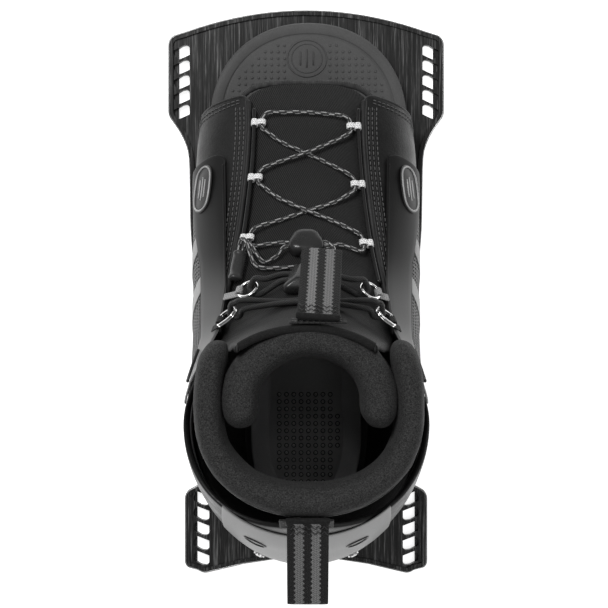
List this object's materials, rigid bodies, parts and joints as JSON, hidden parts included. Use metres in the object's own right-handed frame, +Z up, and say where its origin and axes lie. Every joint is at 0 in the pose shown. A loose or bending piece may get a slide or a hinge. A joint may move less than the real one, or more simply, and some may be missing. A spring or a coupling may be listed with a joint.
{
  "type": "water ski boot",
  "caption": "Open-toe, high-cut water ski boot with a laced front, two padded collars and pull tabs, on a flat mounting plate with rows of slanted screw windows.",
  "frame": {"origin": "middle of the mounting plate's flat underside", "axes": "+Y to the toe, +X to the right seen from above, +Z up out of the boot"},
  "size_m": [0.174, 0.355, 0.2049],
  "materials": {
    "plate": "brushed black",
    "steel": "satin",
    "chrome": "polished",
    "black_plastic": "satin",
    "board": "matte",
    "footbed_rubber": "matte",
    "leather": "fine grain",
    "lining": "matte knit",
    "overlay": "satin with a light fade",
    "heel_overlay": "satin with a dark fade",
    "mesh": "open weave",
    "badge": "satin",
    "binding": "brushed stretch",
    "tongue_cloth": "ribbed twill",
    "neoprene": "speckled plush",
    "webbing": "woven with two light stripes",
    "white_webbing": "woven",
    "grey_webbing": "woven",
    "cord": "braided with light flecks",
    "elastic": "braided"
  },
  "bodies": {
    "boot": {"base_plate": "plate", "plate_screws": "steel", "tee_nuts": "steel", "sole_chassis": "black_plastic", "lasting_board": "board", "footbed": "footbed_rubber", "quarter_left": "leather", "quarter_right": "leather", "liner_left": "lining", "liner_right": "lining", "heel_counter": "board", "heel_overlay": "heel_overlay", "heel_rivets": "steel", "side_overlay_left": "overlay", "side_overlay_right": "overlay", "mesh_panel_left": "mesh", "mesh_panel_right": "mesh", "badge_left": "badge", "badge_right": "badge", "toe_binding": "binding", "tongue_lower": "tongue_cloth", "cuff_collar": "neoprene", "cuff_band": "binding", "rear_tab_patch": "webbing", "lace_rod_left": "black_plastic", "lace_rod_right": "black_plastic", "lace_loops_left": "white_webbing", "lace_loops_right": "white_webbing", "lace": "cord", "lace_end_grip": "black_plastic", "lace_lock_body": "black_plastic", "lace_lock_spring": "steel", "ring_webbing_left": "grey_webbing", "ring_webbing_right": "grey_webbing", "hook_webbing_left": "lining", "hook_webbing_right": "lining", "cuff_cable_left": "elastic", "cuff_cable_right": "elastic", "bungee": "elastic", "cuff_cord": "elastic", "bungee_lock_body": "black_plastic", "bungee_lock_spring": "steel"},
    "tongue_top": {"tongue_upper": "tongue_cloth", "tongue_collar": "neoprene", "tab_patch": "webbing"},
    "front_tab": {"front_pull_tab": "webbing"},
    "rear_tab": {"rear_pull_tab": "webbing"},
    "ring_l": {"ring_left": "chrome"},
    "ring_r": {"ring_right": "chrome"},
    "link_l": {"hook_link_left": "chrome"},
    "link_r": {"hook_link_right": "chrome"},
    "lace_button": {"lace_lock_button": "black_plastic"},
    "bungee_button": {"bungee_lock_button": "black_plastic"}
  },
  "joints": [
    {"name": "tongue_flex", "type": "hinge", "parent": "boot", "child": "tongue_top", "pos_m": [0, -0.00962, 0.15174], "axis": [-1, 0, 0], "range_deg": [0, 10], "stiffness_Nm_per_rad": 0.8},
    {"name": "front_tab_lift", "type": "hinge", "parent": "tongue_top", "child": "front_tab", "pos_m": [0.006, -0.0144, 0.204], "axis": [0.9976, -0.0698, 0], "range_deg": [-12, 105], "stiffness_Nm_per_rad": 0.06},
    {"name": "rear_tab_lift", "type": "hinge", "parent": "boot", "child": "rear_tab", "pos_m": [0.0007, -0.121, 0.198], "axis": [-1, 0, 0], "range_deg": [-25, 80], "stiffness_Nm_per_rad": 0.06},
    {"name": "ring_left_swing", "type": "hinge", "parent": "boot", "child": "ring_l", "pos_m": [-0.03777, -0.00072, 0.12364], "axis": [-0.1609, -0.7063, 0.6894], "range_deg": [-4, 25], "deforming": ["bungee"]},
    {"name": "ring_right_swing", "type": "hinge", "parent": "boot", "child": "ring_r", "pos_m": [0.04072, -0.00161, 0.12183], "axis": [-0.164, 0.7305, -0.6629], "range_deg": [-4, 25], "deforming": ["bungee"]},
    {"name": "link_left_swing", "type": "hinge", "parent": "boot", "child": "link_l", "pos_m": [-0.04811, -0.01739, 0.13462], "axis": [-0.1967, -0.6442, 0.7391], "range_deg": [-4, 25], "deforming": ["cuff_cord"]},
    {"name": "link_right_swing", "type": "hinge", "parent": "boot", "child": "link_r", "pos_m": [0.04811, -0.01739, 0.13462], "axis": [-0.1967, 0.6442, -0.7391], "range_deg": [-4, 25], "deforming": ["cuff_cord"]},
    {"name": "lace_lock_press", "type": "slide", "parent": "boot", "child": "lace_button", "axis": [0, 0.7808, -0.6247], "range_m": [0, 0.0022], "stiffness_N_per_m": 900, "springref_m": -0.003, "deforming": ["lace_lock_spring"]},
    {"name": "bungee_lock_press", "type": "slide", "parent": "boot", "child": "bungee_button", "axis": [0, 0.6176, -0.7865], "range_m": [0, 0.0022], "stiffness_N_per_m": 900, "springref_m": -0.003, "deforming": ["bungee_lock_spring"]}
  ]
}
